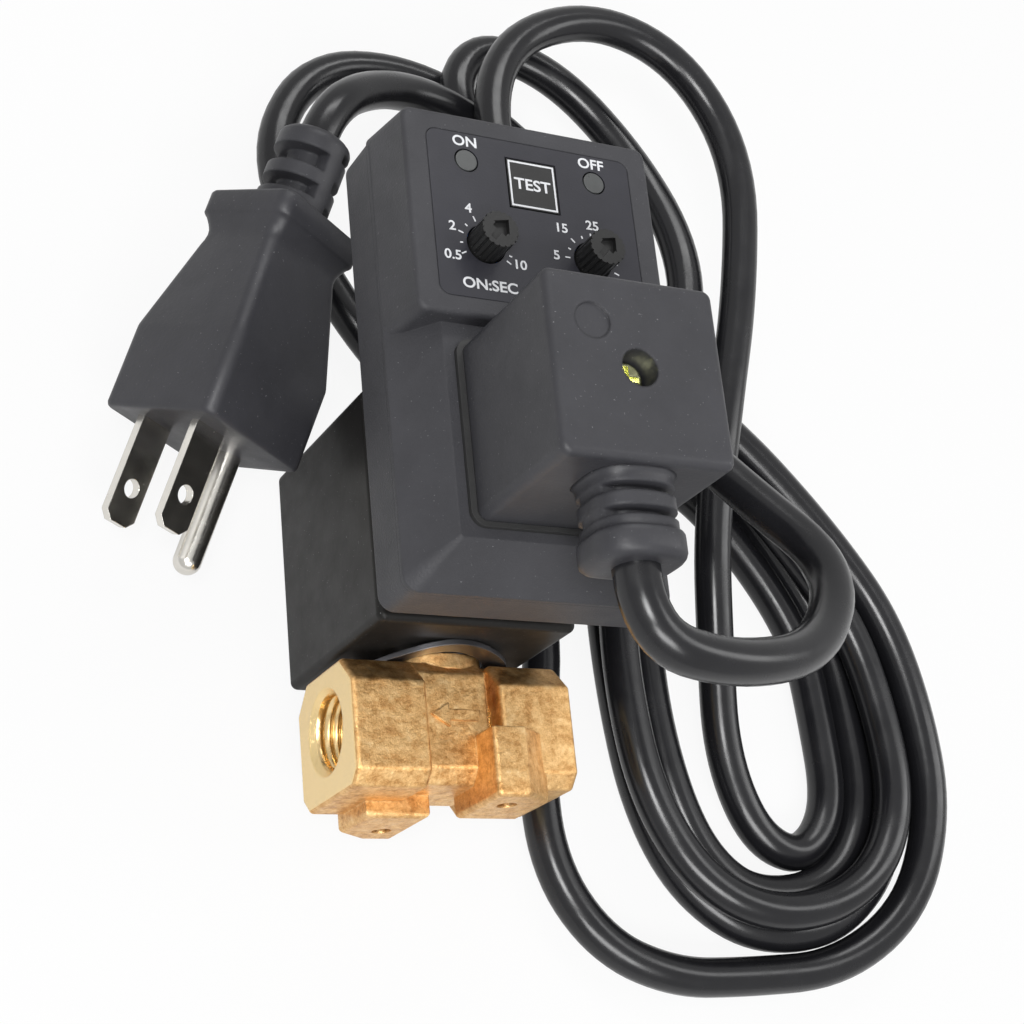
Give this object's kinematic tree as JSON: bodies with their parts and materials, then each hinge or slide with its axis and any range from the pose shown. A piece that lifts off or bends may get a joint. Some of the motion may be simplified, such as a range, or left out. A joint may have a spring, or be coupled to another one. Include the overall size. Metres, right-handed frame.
{
  "type": "automatic drain valve",
  "caption": "Timed electric drain valve: brass two-port solenoid body, moulded coil, plug-on timer with control panel, angled connector and a looped mains lead ending in a three-pin plug.",
  "frame": {"origin": "below the middle of the valve's outline, on the surface it lies on; the mains lead is left out", "axes": "+Z out of the control panel, +X along the flow axis from outlet to inlet, +Y from the brass body towards the top of the timer"},
  "size_m": [0.1647, 0.1917, 0.094],
  "materials": {
    "brass": "satin",
    "steel": "satin",
    "plated": "satin",
    "zinc": "satin",
    "washer": "satin",
    "seal": "matte",
    "housing": "matte",
    "moulding": "satin",
    "coil": "satin",
    "bobbin": "matte",
    "copper": "satin",
    "board": "satin",
    "label": "satin",
    "lamp": "gloss",
    "relay": "satin",
    "knob": "satin",
    "cord": "gloss",
    "contact": "satin"
  },
  "bodies": {
    "valve": {"armature_tube": "steel", "blade_line": "plated", "blade_neutral": "plated", "capacitor": "knob", "central_screw": "zinc", "circuit_board": "board", "coil_bobbin": "bobbin", "coil_gasket": "seal", "coil_housing": "coil", "coil_nut": "steel", "coil_pin_earth": "plated", "coil_pin_line": "plated", "coil_pin_neutral": "plated", "coil_winding": "copper", "coil_yoke": "steel", "connector_contact_earth": "contact", "connector_contact_line": "contact", "connector_contact_neutral": "contact", "connector_gasket": "seal", "connector_housing": "moulding", "connector_strain_relief": "moulding", "cord_bight_left": "cord", "cord_bight_top": "cord", "cord_coil": "cord", "cord_lead": "cord", "cord_tail": "cord", "earth_pin": "plated", "fixed_core": "steel", "led_off": "lamp", "led_on": "lamp", "off_time_trimmer": "relay", "on_time_trimmer": "relay", "panel_label": "label", "plug_body": "moulding", "plug_strain_relief": "moulding", "plunger_spring": "steel", "rear_contact_earth": "contact", "rear_contact_line": "contact", "rear_contact_neutral": "contact", "rear_socket": "knob", "relay": "relay", "screw_insert": "contact", "test_switch": "knob", "timer_front_cover": "housing", "timer_pin_earth": "plated", "timer_pin_line": "plated", "timer_pin_neutral": "plated", "timer_rear_shell": "housing", "tube_o_ring": "seal", "valve_body": "brass", "wave_washer": "washer"},
    "plunger_body": {"plunger": "steel", "plunger_seal": "seal"},
    "on_time_dial": {"on_time_knob": "knob"},
    "off_time_dial": {"off_time_knob": "knob"},
    "test_key": {"test_button": "knob"}
  },
  "joints": [
    {"name": "plunger_lift", "type": "slide", "parent": "valve", "child": "plunger_body", "axis": [0, 1, 0], "range_m": [0, 0.002], "stiffness_N_per_m": 400, "springref_m": -0.004, "deforming": ["plunger_spring"]},
    {"name": "on_time_turn", "type": "hinge", "parent": "valve", "child": "on_time_dial", "pos_m": [-0.0093, 0.02658, 0.07], "axis": [0, 0, 1], "range_deg": [-95, 175]},
    {"name": "off_time_turn", "type": "hinge", "parent": "valve", "child": "off_time_dial", "pos_m": [0.0093, 0.02658, 0.07], "axis": [0, 0, 1], "range_deg": [-95, 175]},
    {"name": "test_press", "type": "slide", "parent": "valve", "child": "test_key", "axis": [0, 0, 1], "range_m": [-0.0004, 0], "stiffness_N_per_m": 1500, "springref_m": 0.0002}
  ]
}
